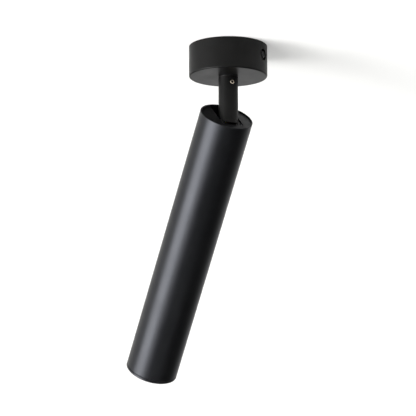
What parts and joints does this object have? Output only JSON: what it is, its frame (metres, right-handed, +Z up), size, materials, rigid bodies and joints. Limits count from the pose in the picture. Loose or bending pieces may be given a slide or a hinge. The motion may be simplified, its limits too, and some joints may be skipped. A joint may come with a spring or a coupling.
{
  "type": "ceiling spotlight",
  "caption": "Surface mounted ceiling spotlight: round canopy, short swivelling stem and a long tilting tube with a recessed lamp behind an anti-glare baffle.",
  "frame": {"origin": "centre of the canopy's open rim, in the plane of the ceiling that the strap is screwed to", "axes": "+Z up into the ceiling, along the stem; X along the tilt bolt; the tube's lower end leans towards +Y"},
  "size_m": [0.08, 0.2527, 0.3273],
  "materials": {
    "black_powder_coated_steel": "matt black powder coat on drawn steel",
    "black_powder_coated_aluminium": "matt black powder coat on extruded aluminium tube",
    "zinc_plated_steel_sheet": "bright zinc-plated pressed steel sheet",
    "blackened_steel_screws": "blackened steel",
    "zinc_plated_steel": "turned steel, zinc-plated",
    "nickel_plated_steel": "nickel-plated steel",
    "brass": "plain turned brass",
    "tinned_brass": "tinned brass",
    "white_nylon": "natural moulded nylon",
    "black_nylon": "black moulded nylon",
    "steatite": "unglazed pressed steatite",
    "lamp_shell_plastic": "white thermoplastic lamp shell",
    "frosted_lens": "frosted polycarbonate lens",
    "black_baffle_plastic": "matt black moulded polycarbonate",
    "blue_insulation": "heat-resistant silicone insulation, blue",
    "brown_insulation": "heat-resistant silicone insulation, brown",
    "green_yellow_insulation": "heat-resistant silicone insulation, green and yellow"
  },
  "bodies": {
    "canopy": {"canopy_cup": "black_powder_coated_steel", "ceiling_strap": "zinc_plated_steel_sheet", "canopy_screws": "blackened_steel_screws", "earth_screw": "zinc_plated_steel", "earth_lug": "tinned_brass", "terminal_block": "white_nylon", "terminal_inserts": "brass", "terminal_screws": "zinc_plated_steel", "terminal_fixing_screw": "zinc_plated_steel", "swivel_spigot": "zinc_plated_steel", "lock_washer": "zinc_plated_steel", "lock_nut": "zinc_plated_steel", "swivel_washer": "black_nylon", "canopy_lead_neutral": "blue_insulation", "canopy_lead_earth": "green_yellow_insulation", "canopy_lead_live": "brown_insulation", "strap_earth_lead": "green_yellow_insulation"},
    "stem": {"stem_tube": "black_powder_coated_steel", "grub_screw": "nickel_plated_steel", "pivot_bushes": "black_nylon", "stem_lead_neutral": "blue_insulation", "stem_lead_earth": "green_yellow_insulation", "stem_lead_live": "brown_insulation"},
    "head": {"lamp_tube": "black_powder_coated_aluminium", "top_cap": "black_powder_coated_aluminium", "hinge_bracket": "zinc_plated_steel_sheet", "hinge_bolt": "blackened_steel_screws", "hinge_nut": "zinc_plated_steel", "hinge_washers": "zinc_plated_steel", "head_earth_screw": "zinc_plated_steel", "head_earth_lug": "tinned_brass", "lamp_carrier": "zinc_plated_steel_sheet", "lampholder": "steatite", "holder_contacts": "brass", "holder_screws": "zinc_plated_steel", "lamp_body": "lamp_shell_plastic", "lamp_pins": "brass", "lamp_lens": "frosted_lens", "anti_glare_baffle": "black_baffle_plastic", "front_ring": "black_powder_coated_aluminium", "head_lead_neutral": "blue_insulation", "head_lead_live": "brown_insulation", "head_earth_lead": "green_yellow_insulation"}
  },
  "joints": [
    {"name": "stem_swivel", "type": "hinge", "parent": "canopy", "child": "stem", "pos_m": [0, 0, -0.032], "axis": [0, 0, 1], "range_deg": [-175, 175]},
    {"name": "head_tilt", "type": "hinge", "parent": "stem", "child": "head", "pos_m": [0, 0, -0.0824], "axis": [1, 0, 0], "range_deg": [-39, 16]}
  ]
}
